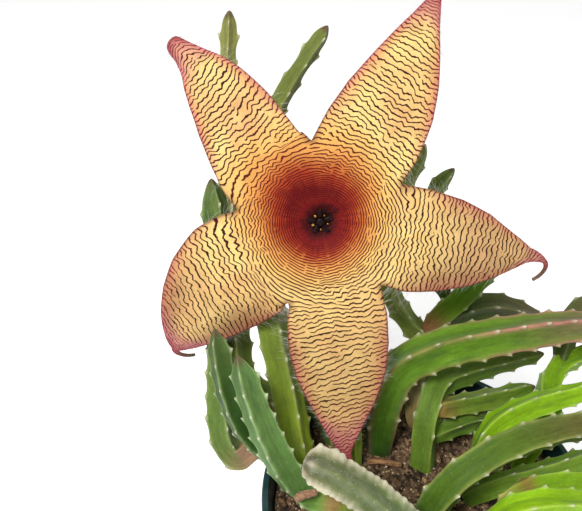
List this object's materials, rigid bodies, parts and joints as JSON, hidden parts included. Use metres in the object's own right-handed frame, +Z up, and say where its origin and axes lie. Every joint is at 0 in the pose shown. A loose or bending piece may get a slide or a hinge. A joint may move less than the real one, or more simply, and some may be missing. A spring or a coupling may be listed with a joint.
{
  "type": "potted giant starfish flower",
  "caption": "Clump of toothed angled succulent stems in a soil-filled round nursery pot, with a wide star-shaped striped flower on a short curved stalk.",
  "frame": {"origin": "middle of the pot's underside, on the surface that it stands on", "axes": "+Z up out of the pot, +Y away from the side that the flower faces, +X to the right as seen from that side"},
  "size_m": [0.3084, 0.2687, 0.3992],
  "materials": {
    "pot_plastic": "satin dark teal",
    "soil_mix": "rough, moist, dark brown with pale bits",
    "bark": "fibrous, dry",
    "stem_green": "soft, finely hairy",
    "stem_woolly_skin": "woolly, pale grey green",
    "dry_skin": "withered, papery",
    "corolla_skin": "leathery, finely ridged, striped maroon",
    "corona_skin": "waxy, nearly black",
    "stalk_green": "soft, finely hairy"
  },
  "bodies": {
    "root": {"pot": "pot_plastic", "soil": "soil_mix", "bark_strip": "bark", "stem_left": "stem_green", "stem_behind_flower": "stem_green", "stem_front_left": "stem_green", "stem_woolly": "stem_woolly_skin", "stem_young": "stem_green", "stem_arching": "stem_green", "stem_forked": "stem_green", "stem_right_back": "stem_green", "stem_right_bright": "stem_green", "stem_right_broad": "stem_green", "stem_right_shaded": "stem_green", "stem_right_low": "stem_green", "stem_right_front": "stem_green", "dry_shoot": "dry_skin", "corolla": "corolla_skin", "corona": "corona_skin", "flower_stalk": "stalk_green"}
  },
  "joints": []
}
